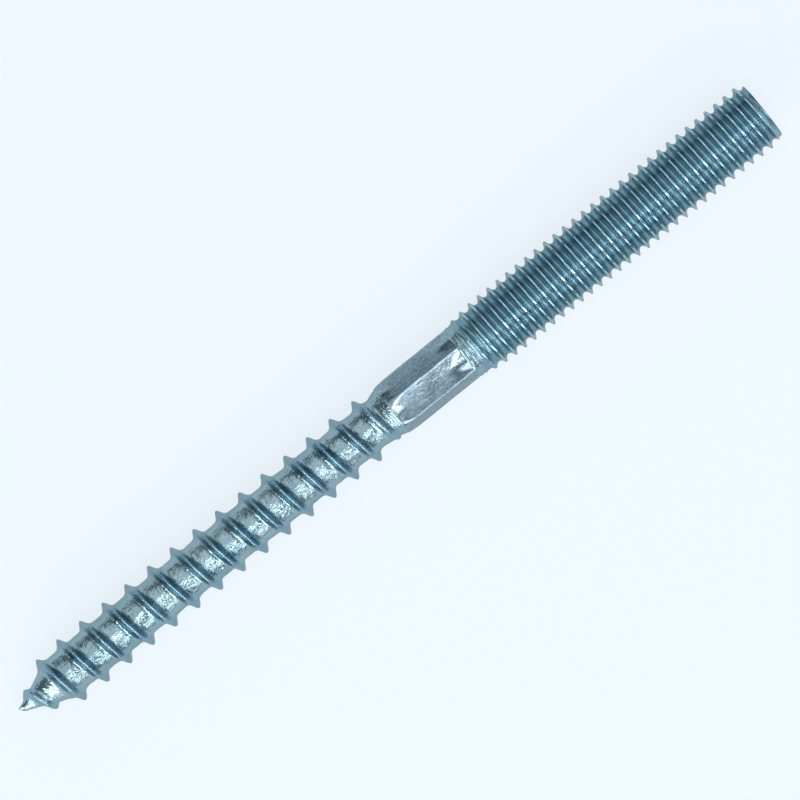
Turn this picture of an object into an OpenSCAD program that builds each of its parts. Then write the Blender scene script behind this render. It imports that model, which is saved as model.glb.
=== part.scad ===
// Hanger bolt: a wood screw and a machine stud on one steel rod, with a pressed hexagon between them.
// It lies along X with its machine end towards +X. X = 0 is the middle of its length, and Z = 0 is
// the surface that it lies on.

/* [Wood screw] */
// Length from the point to the hexagon
wood_l = 39.25; // [20:0.05:90]
// Diameter over the thread's crests
wood_d = 5.4; // [4.4:0.05:8]
// Diameter of the core between the threads
wood_core_d = 3.9; // [3:0.05:5.2]
// Distance from one crest to the next
wood_pitch = 2.4; // [1.6:0.05:4]
// Width of the thread at its crest
wood_crest_w = 0.16; // [0.06:0.01:0.3]
// Width of the thread above the fillets at its foot
wood_waist_w = 0.6; // [0.35:0.05:0.8]
// Width of the thread across the fillets at its foot
wood_foot_w = 1.2; // [0.9:0.05:1.5]
// Length over which the last thread fades out before the hexagon
wood_fade_l = 2.2; // [0.5:0.1:6]
// Length of the tapered point
point_l = 4.1; // [2:0.1:10]
// Diameter of the blunt end of the point
point_d = 0.5; // [0.2:0.05:1.2]
// Height of the thread where it starts at the point
point_thread_h = 0.3; // [0.05:0.05:0.5]

/* [Hexagon] */
// Width across the flats
hex_af = 4.4; // [4:0.05:7]
// Length of the flats
hex_l = 7.55; // [3:0.05:20]
// Turn of a corner from the +Y side, about the axis
hex_turn = 15.5; // [0:0.5:60]
// How far the corners are cut back where they start, at the neck
hex_taper_h = 0.2; // [0.04:0.01:0.3]
// Length over which the corners rise to their full height
hex_taper_l = 2.2; // [0.5:0.1:3]
// Diameter of the neck where it meets the flats
neck_d = 4.6; // [4.4:0.05:7]
// Length of the neck that rises out of the core
neck_l = 1.1; // [0.5:0.1:4]
// Length of the slope from the flats up to the collar
slope_l = 0.5; // [0.2:0.05:1.5]

/* [Machine stud] */
// Length from the hexagon to the end face
stud_l = 31.7; // [10:0.1:90]
// Major diameter of the machine thread
stud_d = 5.88; // [4.9:0.02:10]
// Pitch of the machine thread
stud_pitch = 1; // [0.5:0.05:1.5]
// Diameter of the plain collar between the hexagon and the thread
collar_d = 4.9; // [4.4:0.05:8]
// Diameter of the end face
end_d = 5.1; // [3.5:0.05:8]
// Distance from the middle of the last crest to the end face
end_l = 0.8; // [0.5:0.05:2]

/* [Smoothness] */
// Facets in each turn of the wood thread
wood_facets = 24; // [16:2:32]

/* [Hidden] */
$fn = 64;
zinc = "#aab6bb";

total_l = wood_l + hex_l + stud_l;
hex_end = wood_l + hex_l;
hex_corner_r = hex_af / 2 / cos(30);
core_r = wood_core_d / 2;
// How far one shape is sunk into the next so that they join
sink = 0.25;
// How far a rounded shoulder laps over the next shape
lap = 0.05;

// Share of the wood thread's height at which the fillets at its foot end
waist_h = 0.42;
// The wood thread's own section: shares of the pitch along the axis, and of its height
wood_section = [
    [0.5 - wood_foot_w / wood_pitch / 2, 0],
    [0.5 - wood_waist_w / wood_pitch / 2, waist_h],
    [0.5 - wood_crest_w / wood_pitch / 2, 1],
    [0.5 + wood_crest_w / wood_pitch / 2, 1],
    [0.5 + wood_waist_w / wood_pitch / 2, waist_h],
    [0.5 + wood_foot_w / wood_pitch / 2, 0]
];
wood_rows = len(wood_section);
wood_end = wood_l + sink * 2;
wood_turns = ceil(wood_end / wood_pitch) + 3;
// The helix is turned so that a crest passes the +Y side at this share of the pitch from the point
wood_start = 0.48;

// The machine thread's section is the basic metric one
stud_crest_w = stud_pitch / 8;
stud_foot_w = stud_pitch * 3 / 4;
stud_depth = stud_pitch * cos(30) * 5 / 8;
stud_root_r = stud_d / 2 - stud_depth;
stud_ridges = floor((stud_l - end_l - stud_foot_w / 2) / stud_pitch) + 1;

function mix(a, b, share) = a + (b - a) * max(0, min(1, share));

// Radius of the wood screw's core at height z above the point
function wood_core_r(z) = mix(point_d / 2, core_r, z / point_l);

// Height of the wood thread at height z: it grows over the point and fades out at the neck
function wood_thread_h(z) =
    mix(point_thread_h, wood_d / 2 - core_r, z / point_l) * mix(0, 1, (wood_l - z) / wood_fade_l);

// Radius of the wood screw at height z and angle a, where one turn moves the section by one pitch
function wood_r(z, a) =
    let (phase = z / wood_pitch - a / 360 - wood_start + 0.5)
    wood_core_r(z) + wood_thread_h(z) * lookup(phase - floor(phase), wood_section);

// Height of row i of the helical grid, in column j
function wood_z(i, j) =
    wood_pitch * (floor(i / wood_rows) - 2 + wood_section[i % wood_rows][0]
        + j / wood_facets + wood_start - 0.5);

// A point of the wood screw in column j, at height z
function wood_point(z, j) =
    let (a = j * 360 / wood_facets, r = wood_r(z, a))
    [r * cos(a), r * sin(a), z];

// Wood screw with its point at z = 0: one closed skin whose rows follow the helix between two end rings
module wood_screw() {
    rows = wood_rows * (wood_turns + 1);
    columns = wood_facets;
    grid = [for (i = [0 : rows - 1], j = [0 : columns - 1]) wood_point(wood_z(i, j), j)];
    first_ring = [for (j = [0 : columns - 1]) wood_point(0, j)];
    last_ring = [for (j = [0 : columns - 1]) wood_point(wood_end, j)];

    // The grid's index of row i in column j, where the column after the last is the first, one turn on
    function wrapped(i, j) = j < columns ? [i, j] : [i + wood_rows, 0];
    // The same, with what lies past an end drawn back to that end's ring
    function index(i, j) =
        let (w = wrapped(i, j), z = wood_z(w[0], w[1]))
        z <= 0 ? rows * columns + w[1]
        : z >= wood_end ? (rows + 1) * columns + w[1]
        : w[0] * columns + w[1];

    quads = [
        for (i = [0 : rows - 2 - wood_rows], j = [0 : columns - 1])
            [index(i, j), index(i + 1, j), index(i + 1, j + 1), index(i, j + 1)]
    ];
    skin = [
        for (q = quads, t = [[q[0], q[1], q[2]], [q[0], q[2], q[3]]])
            if (t[0] != t[1] && t[1] != t[2] && t[2] != t[0]) t
    ];
    first_cap = [for (j = [0 : columns - 1]) rows * columns + j];
    last_cap = [for (j = [columns - 1 : -1 : 0]) (rows + 1) * columns + j];
    polyhedron(concat(grid, first_ring, last_ring), concat(skin, [first_cap, last_cap]));
}

// Zone of a ball on the axis that widens from radius r0 to r1 over the length l. It has radius r1 at z = 0,
// and ends at z = end.
module shoulder(r0, r1, l, end) {
    middle = (r1 * r1 - r0 * r0 - l * l) / l / 2;
    intersection() {
        translate([0, 0, middle])
            sphere(r = sqrt(r1 * r1 + middle * middle));
        translate([0, 0, -l * 2])
            cylinder(r = r1 * 2, h = l * 2 + end);
    }
}

// Neck that rises out of the core to the flats
module neck() {
    translate([0, 0, wood_l])
        shoulder(min(core_r, neck_d / 2 - sink), neck_d / 2, neck_l, lap);
}

// Hexagon with its corners tapered at the neck by the sides of a pyramid that opens towards the stud
module hexagon() {
    start_r = (hex_corner_r - hex_taper_h) / cos(30);
    rise = hex_taper_h * hex_l / hex_taper_l / cos(30);
    translate([0, 0, wood_l])
        rotate([0, 0, hex_turn])
        intersection() {
            cylinder(r = hex_corner_r, h = hex_l, $fn = 6);
            rotate([0, 0, 30])
                cylinder(r1 = start_r, r2 = start_r + rise, h = hex_l, $fn = 6);
        }
}

// One ridge of the machine thread's section: radius and height of its four corners
function ridge(middle, r) = [
    [stud_root_r, middle - stud_foot_w / 2],
    [r, middle - stud_crest_w / 2],
    [r, middle + stud_crest_w / 2],
    [stud_root_r, middle + stud_foot_w / 2]
];

// Machine stud with its ridges as rings at the thread's pitch, and a slope up from the flats to its collar.
// The first ridge is half grown.
module machine_stud() {
    last = total_l - end_l;
    start_r = min(hex_af, collar_d) / 2 - sink;
    ridges = [
        for (k = [stud_ridges - 1 : -1 : 0])
            each ridge(last - k * stud_pitch, k == stud_ridges - 1 ? (collar_d + stud_d) / 4 : stud_d / 2)
    ];
    translate([0, 0, hex_end])
        shoulder(start_r, collar_d / 2 + lap, slope_l, 0);
    rotate_extrude()
        polygon(concat(
            [[0, hex_end - lap], [collar_d / 2, hex_end - lap]],
            ridges,
            [[end_d / 2, total_l], [0, total_l]]
        ));
}

// The whole bolt, laid down on its machine thread with its point towards -X
module hanger_bolt() {
    color(zinc)
        translate([-total_l / 2, 0, stud_d / 2])
        rotate([0, 90, 0])
        rotate([0, 0, 90])
        union() {
            wood_screw();
            neck();
            hexagon();
            machine_stud();
        }
}

hanger_bolt();
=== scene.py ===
import math

import bpy
import numpy as np
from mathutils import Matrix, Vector


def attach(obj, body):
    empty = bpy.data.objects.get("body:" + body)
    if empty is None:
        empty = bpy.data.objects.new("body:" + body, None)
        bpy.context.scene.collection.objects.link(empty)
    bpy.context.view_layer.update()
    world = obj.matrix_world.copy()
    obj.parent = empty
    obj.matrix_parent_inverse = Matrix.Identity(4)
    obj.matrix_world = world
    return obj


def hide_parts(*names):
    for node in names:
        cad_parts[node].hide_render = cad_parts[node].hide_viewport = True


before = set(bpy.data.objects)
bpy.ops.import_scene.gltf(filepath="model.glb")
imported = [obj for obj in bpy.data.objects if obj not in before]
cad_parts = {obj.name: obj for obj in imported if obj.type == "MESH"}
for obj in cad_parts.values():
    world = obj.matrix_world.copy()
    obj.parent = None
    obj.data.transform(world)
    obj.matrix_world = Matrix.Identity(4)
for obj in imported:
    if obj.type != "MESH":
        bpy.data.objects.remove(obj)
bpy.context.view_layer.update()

# Sizes in millimetres, angles in degrees. Stations run along the axis from the point to the end of the stud.
MM = 0.001
TOTAL_L = 78.5
AXIS_H = 2.94
HEX_START = 39.25
HEX_END = 46.8

# Wood screw. A thread's profile lists distances from its crest, and then shares of its height.
CORE_R = 1.95
POINT_R = 0.12
POINT_L = 4.1
NIB_L = 0.3
NIB_SHIFT = 0.15
NIB_SHIFT_L = 0.9
WOOD_PITCH = 2.4
WOOD_CREST = 1.21
WOOD_H = 0.75
WOOD_POINT_H = 0.3
WOOD_RISE_L = 0.8
WOOD_FADE_L = 2.2
WOOD_PROFILE = (
    (0, 0.05, 0.1, 0.15, 0.2, 0.28, 0.36, 0.45, 0.55, 0.68, 0.8),
    (1, 0.97, 0.9, 0.79, 0.67, 0.47, 0.3, 0.16, 0.07, 0.02, 0),
)

# Neck, with fine lines and a groove. Its profile lists stations, and then radii.
NECK_PROFILE = ((38.2, 38.54, 38.95, 39.25), (1.9, 2.05, 2.19, 2.3))
NECK_LINE_H = 0.014
NECK_LINE_PITCH = 0.24
NECK_LINE_LEAD = 1.2
NECK_LINE_SPAN = (38, 39.15, 0.4, 0.15)
GROOVE_AT = 39.1
GROOVE_W = 0.05
GROOVE_H = 0.03

# Hexagon, with its first corner at HEX_TURN from +Y. Its profiles list distances from an end, and radii.
FACETS = 6
FACET = 360 / FACETS
HEX_TURN = 15.5
FLAT_R = 2.2
FLAT_CROWN = 0.014
CORNER_W = 1.6
CORNER_ROUNDING = np.array([0.02, 0.004, 0.034, 0.02, 0.012, 0.026])
CORNER_PROFILE = ((0, 0.5, 1.2, 2.2), (2.34, 2.42, 2.49, 2.54))
RUN_IN = ((0, 1.1), (2.3, 2.2))
RUN_OUT = ((-1.7, -0.15), (2.2, 2.34))

# Machine stud. Its crests, its roots and the limit at its end list stations, and then radii.
COLLAR_R = 2.45
COLLAR_SLOPE = 0.8
COLLAR_LINE_H = 0.02
COLLAR_LINE_PITCH = 0.36
COLLAR_LINE_AT = 46.95
COLLAR_LINE_SPAN = (46.8, 47.6, 0.1, 0.3)
STUD_PITCH = 1.0
STUD_CREST = 47.67
STUD_PROFILE = (
    (0, 0.07, 0.09, 0.118, 0.16, 0.21, 0.26, 0.31, 0.37, 0.44, 0.5),
    (1, 0.995, 0.955, 0.81, 0.59, 0.41, 0.275, 0.165, 0.075, 0.015, 0),
)
STUD_CRESTS = ((47.2, 47.7, 48.7, 49.7, 50.7), (2.45, 2.68, 2.8, 2.9, 2.94))
STUD_ROOTS = ((47.0, 48.5), (2.45, 2.41))
END_LIMIT = ((77.9, 78.15, 78.44, 78.5), (3.0, 2.6, 2.56, 2.5))

# Dished end face: depth and radius of each ring, and the depth of its middle
END_FACE = ((0.002, 2.44), (0.02, 1.6), (0.05, 0.7))
END_DISH_H = 0.06

# Unevenness: depth, length of a cell, cells around the axis, and seed. The depth of CORNER_WAVE is an angle.
WOOD_DENTS = ((0.034, 0.9, 14, 3), (0.036, 0.45, 28, 5))
WOOD_NICKS = (0.03, 0.5, 26, 7)
CORNER_WAVE = (0.7, 0.8, 1, 11)
FLAT_WAVE = (0.004, 0.7, 24, 13)
STUD_NICKS = (0.014, 0.3, 44, 17)
STUD_DENTS = (0.006, 0.5, 20, 19)

# Marks that the material reads: how much a ridge counts as a crest, and the lengths over which marks ease in
WOOD_MARK = 0.5
CORNER_MARK = 0.65
FLAT_EASE = 0.2
STUD_EASE = 1.5

# Helical rows of the skin: stations where they start and end, and distances of the rows beside a crest
WOOD_HELIX = (0.2, 37.4)
WOOD_ROWS = (0.05, 0.1, 0.16, 0.22, 0.28, 0.34, 0.4, 0.48, 0.57, 0.68, 0.82, 1.0)
STUD_HELIX = (47.3, 78.2)
STUD_ROWS = (0.035, 0.068, 0.09, 0.118, 0.16, 0.22, 0.3, 0.39)
SPARE_TURNS = 3
CLOSE_SHARE = 0.35
CLOSE_STEP = 0.12

# Rings of the skin, as stations, or as distances from the hexagon's start and end
TIP_RINGS = (0.012, 0.05, 0.11)
NECK_STEP = 0.05
RUN_IN_RINGS = np.array([0, 0.06, 0.14, 0.25, 0.38, 0.54, 0.72, 0.92, 1.15, 1.4, 1.7, 2.05, 2.4])
FLAT_RINGS = np.arange(42.1, 45.1, 0.45)
RUN_OUT_RINGS = np.array([1.6, 1.35, 1.12, 0.92, 0.74, 0.58, 0.44, 0.32, 0.22, 0.14, 0.07, 0.02])
COLLAR_START = 0.02
COLLAR_STEP = 0.04
RING_GAP = 0.01
END_RINGS = (78.3, 78.4, 78.45, 78.48, TOTAL_L)

# Columns around the axis, closer together at the hexagon's corners
FACET_STEPS = (0, 1.0, 2.4, 6, 12, 17.5, 23.7, 30, 36.3, 42.5, 48, 54, 57.6, 59.0)
COLUMNS = np.array([HEX_TURN + FACET * k + step for k in range(FACETS) for step in FACET_STEPS])

# Colours of the zinc. A spread is two values of a noise or mark, and the results there if not 0 and 1.
ZINC_DEEP, ZINC_PALE = (0.245, 0.38, 0.44, 1), (0.33, 0.46, 0.515, 1)
ZINC_SPREAD = (0.3, 0.7)
WOOD_FLANK = (0.2, 0.37, 0.49, 1)
WOOD_FLANK_SPREAD = (0.02, 0.22, 0, 0.5)
# The stud's roots are painted darker than its flanks: painted shade in the hollows of the thread.
STUD_ROOT_PAINTED_SHADE, STUD_FLANK = (0.18, 0.325, 0.405, 1), (0.245, 0.405, 0.48, 1)
STUD_ROOT_SHADE_SPREAD = (0.0, 0.35)
SPECK = (0.16, 0.27, 0.32, 1)
SPECK_SPREAD = (0.62, 0.75, 0, 0.35)
PRESSED_DEEP, PRESSED_PALE = (0.205, 0.29, 0.365, 1), (0.31, 0.42, 0.495, 1)
PRESSED_SPREAD = (0.38, 0.62)
PRESSED_SHARE = 0.8
WORN = (0.36, 0.52, 0.6, 1)
WORN_SPREAD = (0.55, 0.95)
WORN_GRAIN_SPREAD = (0.35, 0.6, 0.35, 0.9)
EDGE_TINT = (0.64, 0.65, 0.62, 1)

# Gloss of the zinc: its roughness, and how far the stud's thread and the hexagon change it
ROUGH_SPREAD = (0.3, 0.7, 0.2, 0.3)
STUD_ROOT_ROUGH = 0.1
STUD_CREST_POLISH = 0.17
FLAT_POLISH = 0.015
CORNER_ROUGH = 0.4

# Grain of the zinc: scale per metre, detail and roughness of each noise
CLOUD_GRAIN = (420, 4, 0.5)
SPECK_GRAIN = (2600, 2, 0.5)
FINE_GRAIN = (5200, 2, 0.6)
STREAK_GRAIN = (4200, 2, 0.5)
STREAK_STRETCH = (0.06, 1, 1)

# Fine relief of the zinc: heights, and shares of the noises in them
HAMMER_H = 0.05
HAMMER_GRAIN_SHARE = 0.35
STUD_EVENNESS = 0.7
FINE_H = 0.03
FINE_STREAK_SHARE = 0.12
FINE_SPECK_SHARE = 0.25

# Floor, with the radius and height of its rings in metres
FLOOR_PROFILE = ((0.3, 0), (0.8, 0), (1.5, 0), (1.6, 0.012), (1.68, 0.05), (1.71, 0.1))
FLOOR_SIDES = 96
FLOOR_COLOUR = (0.86, 0.9, 0.93, 1)
FLOOR_GLOW = (0.865, 0.945, 1.0, 1)
FLOOR_GLOW_SHARE = 0.84

# Lamps: tilt, azimuth, distance in metres, spans across and along the tilt, and radiance
LAMPS = {
    "overhead": (9, 90, 1.1, 52, 58, 0.8),
    "overhead_key": (18.6, 273, 0.95, 16, 11, 9.4),
    "back": (50, 66, 0.8, 48, 38, 0.75),
    "front": (57, 275, 0.7, 30, 27, 1.5),
    "front_left": (59, 256, 0.7, 16, 26, 2.8),
    "right": (45, 342, 0.7, 36, 26, 2.2),
    "left_low": (67, 204, 0.7, 62, 26, 4.6),
}
WORLD_COLOUR = (0.14, 0.16, 0.17, 1)

# Camera: turn of the bolt in the picture, place of the picture's middle, and height and clipping in metres
CAMERA_TURN = 38.97
CAMERA_RIGHT, CAMERA_UP = 0.698, 0.871
CAMERA_H = 0.8
CAMERA_CLIP = (0.01, 20)
LENS, SENSOR = 438, 36


# Numbers
def mix(a, b, share):
    return a + (b - a) * share


def smooth(share):
    share = np.clip(share, 0, 1)
    return share * share * (3 - 2 * share)


def within(s, start, end, rise, fall):
    """1 between two stations, eased to 0 over the lengths rise and fall inside them."""
    return smooth((s - start) / rise) * smooth((end - s) / fall)


def bump_at(x, middle, width):
    """A rounded bump of height 1."""
    return np.exp(-((x - middle) / width) ** 2)


def fine_lines(s, at, pitch):
    """A wave along the axis with a crest at the given station."""
    return np.cos(2 * np.pi * (s - at) / pitch)


def noise(s, angle, depth, cell, around, seed):
    """Smooth random numbers from -depth to depth, on a grid of cells that closes around the axis."""
    rows = int(TOTAL_L / cell) + 4
    table = np.random.RandomState(seed).uniform(-1, 1, (rows, around))
    u = np.clip(s / cell + 1, 0, rows - 2)
    v = angle / 360 % 1 * around
    i, j = np.floor(u).astype(int), np.floor(v).astype(int)
    share_u, share_v = smooth(u - i), smooth(v - j)
    j, after = j % around, (j + 1) % around
    below = mix(table[i, j], table[i, after], share_v)
    above = mix(table[i + 1, j], table[i + 1, after], share_v)
    return depth * mix(below, above, share_u)


def from_crest(s, angle, crest, pitch):
    """Distance along the axis from the nearest crest of a right-hand helix."""
    d = s - crest - pitch * angle / 360
    return np.abs(d - pitch * np.round(d / pitch))


# Surface: radius and crest mark at station s, and at an angle from +Y towards +Z
def neck(s, angle):
    """Radius of the neck, which starts inside the core."""
    lines = fine_lines(s, NECK_LINE_LEAD * angle / 360, NECK_LINE_PITCH)
    radius = np.interp(s, *NECK_PROFILE, left=0) + NECK_LINE_H * lines * within(s, *NECK_LINE_SPAN)
    return radius - GROOVE_H * bump_at(s, GROOVE_AT, GROOVE_W)


def wood_screw(s, angle):
    """A dented core with a nicked thread, which grows over the point and fades out at the neck."""
    grown = np.clip(s / POINT_L, 0, 1)
    nib = np.sqrt(1 - (1 - np.clip(s / NIB_L, 0, 1)) ** 2)
    height = mix(WOOD_POINT_H, WOOD_H, grown) * smooth(s / WOOD_RISE_L)
    height = height * np.clip((HEX_START - s) / WOOD_FADE_L, 0, 1)
    share = np.interp(from_crest(s, angle, WOOD_CREST, WOOD_PITCH), *WOOD_PROFILE)
    dents = sum(noise(s, angle, *layer) for layer in WOOD_DENTS)
    nicks = np.abs(noise(s, angle, *WOOD_NICKS))
    radius = mix(POINT_R, CORE_R, grown) * nib + height * share
    radius = radius + grown * (dents * (1 - share) - nicks * share)
    return np.maximum(radius, neck(s, angle)), WOOD_MARK * share


def hexagon(s, angle):
    """Flats with wavy, rounded corners, a conical run-in and run-out, and the slope up to the collar."""
    turned = angle + noise(s, 0 * angle, *CORNER_WAVE) - HEX_TURN
    half = FACET / 2
    off = turned % FACET - half
    corner = np.floor((turned + half) / FACET).astype(int) % FACETS
    edge = bump_at(np.abs(off), half, CORNER_W)
    flat = FLAT_R / np.cos(np.radians(off)) - FLAT_CROWN * (off / half) ** 2
    radius = np.minimum(flat - CORNER_ROUNDING[corner] * edge, np.interp(s - HEX_START, *CORNER_PROFILE))
    radius = np.maximum(radius, np.interp(s - HEX_START, *RUN_IN))
    radius = np.maximum(radius, np.interp(s - HEX_END, *RUN_OUT))
    radius = radius + noise(s, angle, *FLAT_WAVE)
    radius = np.maximum(radius, COLLAR_R - COLLAR_SLOPE * (HEX_END - s))
    return radius, CORNER_MARK * edge


def machine_stud(s, angle):
    """A lined collar and a nicked thread, cut back at the end face."""
    share = np.interp(from_crest(s, angle, STUD_CREST, STUD_PITCH), *STUD_PROFILE)
    crest = np.interp(s, *STUD_CRESTS) - np.abs(noise(s, angle, *STUD_NICKS))
    root = np.interp(s, *STUD_ROOTS) + noise(s, angle, *STUD_DENTS)
    radius = root + np.maximum(crest - root, 0) * share
    lines = fine_lines(s, COLLAR_LINE_AT, COLLAR_LINE_PITCH)
    radius = radius + COLLAR_LINE_H * lines * within(s, *COLLAR_LINE_SPAN)
    first_crest = STUD_CRESTS[0][0]
    return np.minimum(radius, np.interp(s, *END_LIMIT)), share * smooth((s - first_crest) / STUD_EASE)


def surface(s, angle):
    """Radius and crest mark of the whole bolt."""
    parts = (wood_screw(s, angle), hexagon(s, angle), machine_stud(s, angle))
    where = [s < HEX_START, s <= HEX_END, s > HEX_END]
    return tuple(np.select(where, [part[k] for part in parts]) for k in range(2))


class Skin:
    """The points and faces of one closed surface around the axis."""

    def __init__(self):
        self.points, self.faces = [], []
        self.marks = {"crest": [], "flat": [], "stud": []}
        self.size = 0

    def add(self, s, angle, radius=None):
        """Adds points and returns their numbers."""
        on_surface, crest = surface(s, angle)
        radius = on_surface if radius is None else radius
        turn = np.radians(angle)
        shift = NIB_SHIFT * (1 - np.clip(s / NIB_SHIFT_L, 0, 1)) ** 2
        y, z = radius * np.cos(turn) + shift, radius * np.sin(turn) + AXIS_H
        self.points.append(np.stack([s - TOTAL_L / 2, y, z], 1) * MM)
        self.marks["crest"].append(crest)
        self.marks["flat"].append(within(s, HEX_START, HEX_END, FLAT_EASE, FLAT_EASE))
        self.marks["stud"].append(smooth((s - HEX_END) / STUD_EASE))
        numbers = np.arange(self.size, self.size + len(s))
        self.size += len(s)
        return numbers

    def ring(self, s, radius=None):
        """A ring on the surface, or of the given radius."""
        s = np.full(len(COLUMNS), float(s))
        return self.add(s, COLUMNS, None if radius is None else np.full(len(COLUMNS), radius))

    def between(self, ring, next_ring):
        """Faces between two rings."""
        quads = np.stack([ring, np.roll(ring, -1), np.roll(next_ring, -1), next_ring], 1)
        self.faces += quads.tolist()

    def rings(self, first, stations):
        """Rings at the given stations, after a first one. Returns the last one."""
        for s in stations:
            ring = self.ring(s)
            self.between(first, ring)
            first = ring
        return first

    def cap(self, ring, s, towards_end):
        """Closes a ring with a fan."""
        middle = int(self.add(np.array([float(s)]), np.zeros(1), np.zeros(1))[0])
        after = np.roll(ring, -1)
        pairs = zip(ring, after) if towards_end else zip(after, ring)
        self.faces += [[int(a), int(b), middle] for a, b in pairs]

    def helix(self, first, last, stations, crest, pitch, rows):
        """Rows that follow a helix from one ring to another. Points past a ring, or close to it, join it."""
        start, end = stations
        offsets = np.array([-x for x in rows[::-1]] + [0.0] + list(rows) + [pitch / 2])
        first_turn = math.floor((start - crest) / pitch) - SPARE_TURNS
        turns = np.arange(first_turn, math.ceil((end - crest) / pitch) + SPARE_TURNS)
        base = (crest + pitch * turns[:, None] + offsets[None, :]).ravel()
        close = CLOSE_SHARE * np.minimum(np.gradient(base), CLOSE_STEP)[:, None]
        s = base[:, None] + pitch * COLUMNS[None, :] / 360
        angle = np.broadcast_to(COLUMNS, s.shape)
        numbers = np.where(s <= start + close, first, np.where(s >= end - close, last, -1))
        free = numbers < 0
        numbers[free] = self.add(s[free], angle[free])
        self.weave(numbers, len(offsets))

    def weave(self, numbers, turn):
        """Faces between helical rows, where the column after the last is the first, one turn on."""
        here = numbers[:-turn]
        there = np.concatenate([numbers[:-turn, 1:], numbers[turn:, :1]], 1)
        a, b, c, d = (x.ravel() for x in (here[:-1], there[:-1], there[1:], here[1:]))
        self.faces += np.stack([a, b, c, d], 1)[(a != d) & (b != c)].tolist()
        self.faces += np.stack([a, b, c], 1)[(a == d) & (b != c)].tolist()
        self.faces += np.stack([a, b, d], 1)[(a != d) & (b == c)].tolist()

    def mesh(self, name):
        """A smooth mesh that carries the marks at its points."""
        mesh = bpy.data.meshes.new(name)
        mesh.from_pydata(np.concatenate(self.points).tolist(), [], self.faces)
        mesh.polygons.foreach_set("use_smooth", [True] * len(mesh.polygons))
        for title, values in self.marks.items():
            attribute = mesh.attributes.new(title, "FLOAT", "POINT")
            attribute.data.foreach_set("value", np.concatenate(values).astype(np.float32))
        mesh.update()
        return mesh


def middle_stations():
    """Stations of the rings between the two threads."""
    neck_rings = np.arange(WOOD_HELIX[1] + NECK_STEP, HEX_START - RING_GAP, NECK_STEP)
    run_in, run_out = HEX_START + RUN_IN_RINGS, HEX_END - RUN_OUT_RINGS
    collar_rings = np.arange(HEX_END + COLLAR_START, STUD_HELIX[0] - RING_GAP, COLLAR_STEP)
    return [*neck_rings, *run_in, *FLAT_RINGS, *run_out, *collar_rings, STUD_HELIX[0]]


def bolt_mesh():
    """The bolt as one closed skin: point, wood thread, neck, hexagon, machine thread and end face."""
    skin = Skin()
    tip = skin.ring(TIP_RINGS[0])
    skin.cap(tip, 0, False)
    first = skin.rings(tip, (*TIP_RINGS[1:], WOOD_HELIX[0]))
    ring = skin.ring(WOOD_HELIX[1])
    skin.helix(first, ring, WOOD_HELIX, WOOD_CREST, WOOD_PITCH, WOOD_ROWS)
    ring = skin.rings(ring, middle_stations())
    last = skin.ring(STUD_HELIX[1])
    skin.helix(ring, last, STUD_HELIX, STUD_CREST, STUD_PITCH, STUD_ROWS)
    last = skin.rings(last, END_RINGS)
    for depth, radius in END_FACE:
        face = skin.ring(TOTAL_L - depth, radius)
        skin.between(last, face)
        last = face
    skin.cap(last, TOTAL_L - END_DISH_H, True)
    return skin.mesh("hanger_bolt_skin")


# Materials
class Tree:
    """Builds a material's nodes, and links what is given as a socket."""

    def __init__(self, name):
        self.material = bpy.data.materials.new(name)
        self.material.use_nodes = True
        self.nodes, self.links = self.material.node_tree.nodes, self.material.node_tree.links
        self.nodes.clear()

    def node(self, kind, settings=None, **inputs):
        """A node with its inputs by name, with _ for a space, or by number, as in0."""
        node = self.nodes.new(kind)
        for key, value in (settings or {}).items():
            setattr(node, key, value)
        for key, value in inputs.items():
            name = key.replace("_", " ")
            socket = node.inputs[int(name[2:])] if name.startswith("in") else node.inputs[name]
            if isinstance(value, bpy.types.NodeSocket):
                self.links.new(value, socket)
            else:
                socket.default_value = value
        return node

    def math(self, operation, a, b):
        return self.node("ShaderNodeMath", {"operation": operation}, in0=a, in1=b).outputs[0]

    def add(self, a, b):
        return self.math("ADD", a, b)

    def subtract(self, a, b):
        return self.math("SUBTRACT", a, b)

    def times(self, a, b):
        return self.math("MULTIPLY", a, b)

    def span(self, value, low, high, to_low=0.0, to_high=1.0):
        """Eases from one result to another while the value goes from low to high."""
        settings = {"interpolation_type": "SMOOTHSTEP"}
        inputs = {"Value": value, "From_Min": low, "From_Max": high, "To_Min": to_low, "To_Max": to_high}
        return self.node("ShaderNodeMapRange", settings, **inputs).outputs[0]

    def blend(self, share, a, b):
        return self.node("ShaderNodeMix", {"data_type": "RGBA"}, in0=share, in6=a, in7=b).outputs[2]

    def noise(self, place, scale, detail, roughness):
        inputs = {"Vector": place, "Scale": scale, "Detail": detail, "Roughness": roughness}
        return self.node("ShaderNodeTexNoise", None, **inputs).outputs[0]

    def attribute(self, name):
        return self.node("ShaderNodeAttribute", {"attribute_name": name}).outputs["Fac"]

    def bump(self, height, **inputs):
        """A relief of the given height in millimetres."""
        return self.node("ShaderNodeBump", None, Strength=1.0, Distance=height * MM, **inputs).outputs[0]

    def finish(self, shader):
        self.node("ShaderNodeOutputMaterial", None, Surface=shader)
        return self.material


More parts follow.
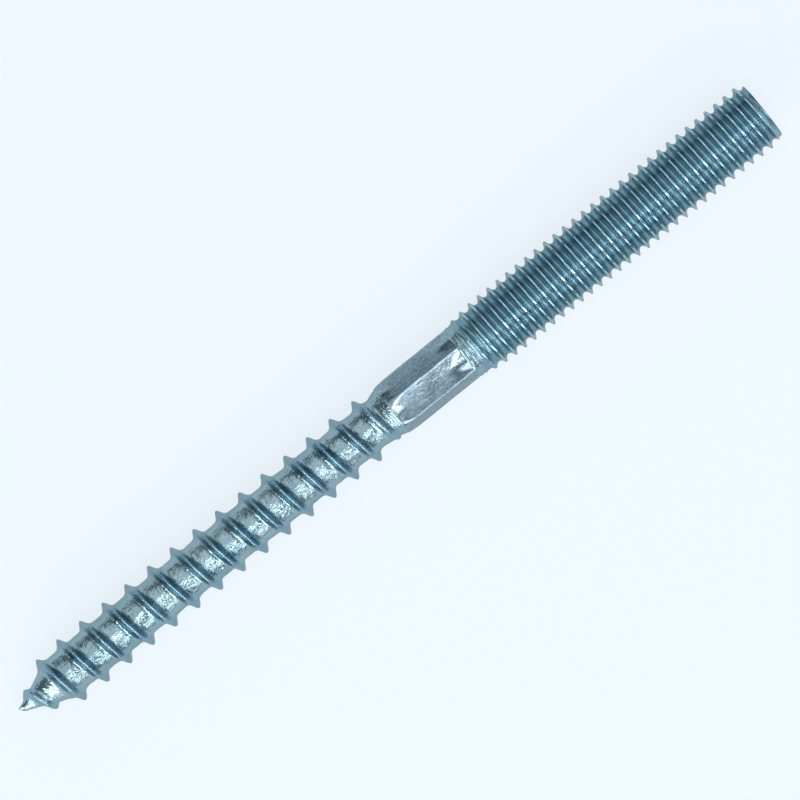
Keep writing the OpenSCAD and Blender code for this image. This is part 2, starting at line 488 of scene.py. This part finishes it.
class Zinc:
    """Blue-passivated zinc: paler along worn crests and edges, grainy on the flats, mottled elsewhere, with
    painted shade darkening the stud's thread roots.
    """

    def __init__(self):
        tree = self.tree = Tree("zinc_plate")
        place = tree.node("ShaderNodeTexCoord").outputs["Object"]
        along = tree.node("ShaderNodeMapping", None, Vector=place, Scale=STREAK_STRETCH).outputs[0]
        self.crest, self.flat, self.stud = (tree.attribute(name) for name in ("crest", "flat", "stud"))
        self.cloud = tree.noise(place, *CLOUD_GRAIN)
        self.speck = tree.noise(place, *SPECK_GRAIN)
        self.grain = tree.noise(place, *FINE_GRAIN)
        self.streak = tree.noise(along, *STREAK_GRAIN)

    def colour(self):
        """Clouded zinc, bluer flanks, painted shade in the stud's thread roots, dark specks, grainy flats
        and worn crests, laid over each other.
        """
        tree, crest, grain = self.tree, self.crest, self.grain
        colour = tree.blend(tree.span(self.cloud, *ZINC_SPREAD), ZINC_DEEP, ZINC_PALE)
        colour = tree.blend(tree.span(crest, *WOOD_FLANK_SPREAD), colour, WOOD_FLANK)
        # Painted shade: the stud's thread is darker in its roots and eases to the flank colour up the
        # flanks.
        threads = tree.blend(tree.span(crest, *STUD_ROOT_SHADE_SPREAD), STUD_ROOT_PAINTED_SHADE, STUD_FLANK)
        colour = tree.blend(self.stud, colour, threads)
        colour = tree.blend(tree.span(self.speck, *SPECK_SPREAD), colour, SPECK)
        pressed = tree.blend(tree.span(grain, *PRESSED_SPREAD), PRESSED_DEEP, PRESSED_PALE)
        colour = tree.blend(tree.times(self.flat, PRESSED_SHARE), colour, pressed)
        worn = tree.times(tree.span(crest, *WORN_SPREAD), tree.span(grain, *WORN_GRAIN_SPREAD))
        return tree.blend(worn, colour, WORN)

    def roughness(self):
        """Polished crests and rough roots on the stud, and smooth flats with dull corners on the hexagon."""
        tree = self.tree
        rough = tree.span(self.cloud, *ROUGH_SPREAD)
        polish = tree.subtract(tree.times(self.crest, STUD_CREST_POLISH), STUD_ROOT_ROUGH)
        rough = tree.subtract(rough, tree.times(self.stud, polish))
        dull = tree.subtract(tree.times(self.crest, CORNER_ROUGH), FLAT_POLISH)
        return tree.add(rough, tree.times(self.flat, dull))

    def relief(self):
        """Hammered on the wood screw, less so on the stud, and finely streaked on the flats."""
        tree = self.tree
        hammered = tree.subtract(tree.subtract(1.0, self.flat), tree.times(self.stud, STUD_EVENNESS))
        dimples = tree.add(self.speck, tree.times(self.grain, HAMMER_GRAIN_SHARE))
        mottle = tree.bump(HAMMER_H, Height=tree.times(dimples, hammered))
        streaked = tree.times(self.flat, FINE_STREAK_SHARE)
        streaks = tree.times(tree.add(self.grain, self.streak), streaked)
        fine = tree.add(streaks, tree.times(self.speck, FINE_SPECK_SHARE))
        return tree.bump(FINE_H, Height=fine, Normal=mottle)

    def material(self):
        """The finished metal."""
        inputs = {"Base_Color": self.colour(), "Roughness": self.roughness(), "Normal": self.relief()}
        inputs.update(Metallic=1.0, Specular_Tint=EDGE_TINT)
        return self.tree.finish(self.tree.node("ShaderNodeBsdfPrincipled", None, **inputs).outputs[0])


def pale_floor():
    """A pale diffuse floor that the camera and reflections see a little brighter than it is lit."""
    tree = Tree("pale_floor")
    path = tree.node("ShaderNodeLightPath").outputs
    seen = tree.math("MAXIMUM", path["Is Camera Ray"], path["Is Glossy Ray"])
    seen = tree.math("MAXIMUM", seen, path["Is Transmission Ray"])
    share = tree.times(seen, FLOOR_GLOW_SHARE)
    lit = tree.node("ShaderNodeBsdfDiffuse", None, Color=FLOOR_COLOUR).outputs[0]
    glow = tree.node("ShaderNodeEmission", None, Color=FLOOR_GLOW, Strength=1.0).outputs[0]
    return tree.finish(tree.node("ShaderNodeMixShader", None, in0=share, in1=lit, in2=glow).outputs[0])


# Stage
def place(name, data):
    """Puts an object with the given data into the scene."""
    obj = bpy.data.objects.new(name, data)
    bpy.context.scene.collection.objects.link(obj)
    return obj


def floor():
    """A round floor with a low coved edge."""
    points, faces = [(0, 0, 0)], []
    turns = [2 * math.pi * k / FLOOR_SIDES for k in range(FLOOR_SIDES)]
    for radius, height in FLOOR_PROFILE:
        points += [(radius * math.cos(t), radius * math.sin(t), height) for t in turns]
    for k in range(FLOOR_SIDES):
        after = (k + 1) % FLOOR_SIDES
        faces.append((0, 1 + k, 1 + after))
        for row in range(len(FLOOR_PROFILE) - 1):
            low, high = 1 + row * FLOOR_SIDES, 1 + (row + 1) * FLOOR_SIDES
            faces.append((low + k, high + k, high + after, low + after))
    mesh = bpy.data.meshes.new("floor")
    mesh.from_pydata(points, [], faces)
    mesh.polygons.foreach_set("use_smooth", [True] * len(faces))
    mesh.materials.append(pale_floor())
    plane = place("floor", mesh)


def soft_box(name, tilt, azimuth, distance, across, along, radiance):
    """An area lamp that faces the bolt. Its tilt is from straight above, its azimuth from +X towards +Y, and
    its spans are as the bolt sees them."""
    width, height = (2 * distance * math.tan(math.radians(span / 2)) for span in (across, along))
    lamp = bpy.data.lights.new(name, "AREA")
    lamp.shape, lamp.size, lamp.size_y = "RECTANGLE", width, height
    lamp.energy = radiance * math.pi * width * height
    tilt, azimuth = math.radians(tilt), math.radians(azimuth)
    side = math.sin(tilt)
    away = Vector((side * math.cos(azimuth), side * math.sin(azimuth), math.cos(tilt)))
    obj = place(name, lamp)
    obj.location = away * distance
    obj.rotation_euler = away.to_track_quat("Z", "Y").to_euler()
    obj.visible_camera = False


def lights():
    """Soft boxes all round, and a dim world."""
    for name, settings in LAMPS.items():
        soft_box(name, *settings)
    world = bpy.data.worlds.new("studio")
    world.use_nodes = True
    background = world.node_tree.nodes["Background"]
    background.inputs["Color"].default_value = WORLD_COLOUR
    background.inputs["Strength"].default_value = 1.0
    bpy.context.scene.world = world


def camera():
    """Looks straight down on the bolt, which is turned in the picture."""
    turn = math.radians(CAMERA_TURN)
    right = Vector((math.cos(turn), -math.sin(turn), 0))
    up = Vector((math.sin(turn), math.cos(turn), 0))
    lens = bpy.data.cameras.new("camera")
    lens.sensor_width, lens.lens = SENSOR, LENS
    lens.clip_start, lens.clip_end = CAMERA_CLIP
    obj = place("camera", lens)
    middle = right * CAMERA_RIGHT * MM + up * CAMERA_UP * MM
    obj.location = middle + Vector((0, 0, CAMERA_H + AXIS_H * MM))
    obj.rotation_euler = (0, 0, -turn)
    bpy.context.scene.camera = obj


def bolt():
    """The dressed bolt in place of the plain one."""
    mesh = bolt_mesh()
    mesh.materials.append(Zinc().material())
    piece = place("hanger_bolt_skin", mesh)
    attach(piece, "root")
    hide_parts("hanger_bolt")


camera()
bolt()
floor()
lights()
bpy.context.scene.view_settings.view_transform = "Standard"
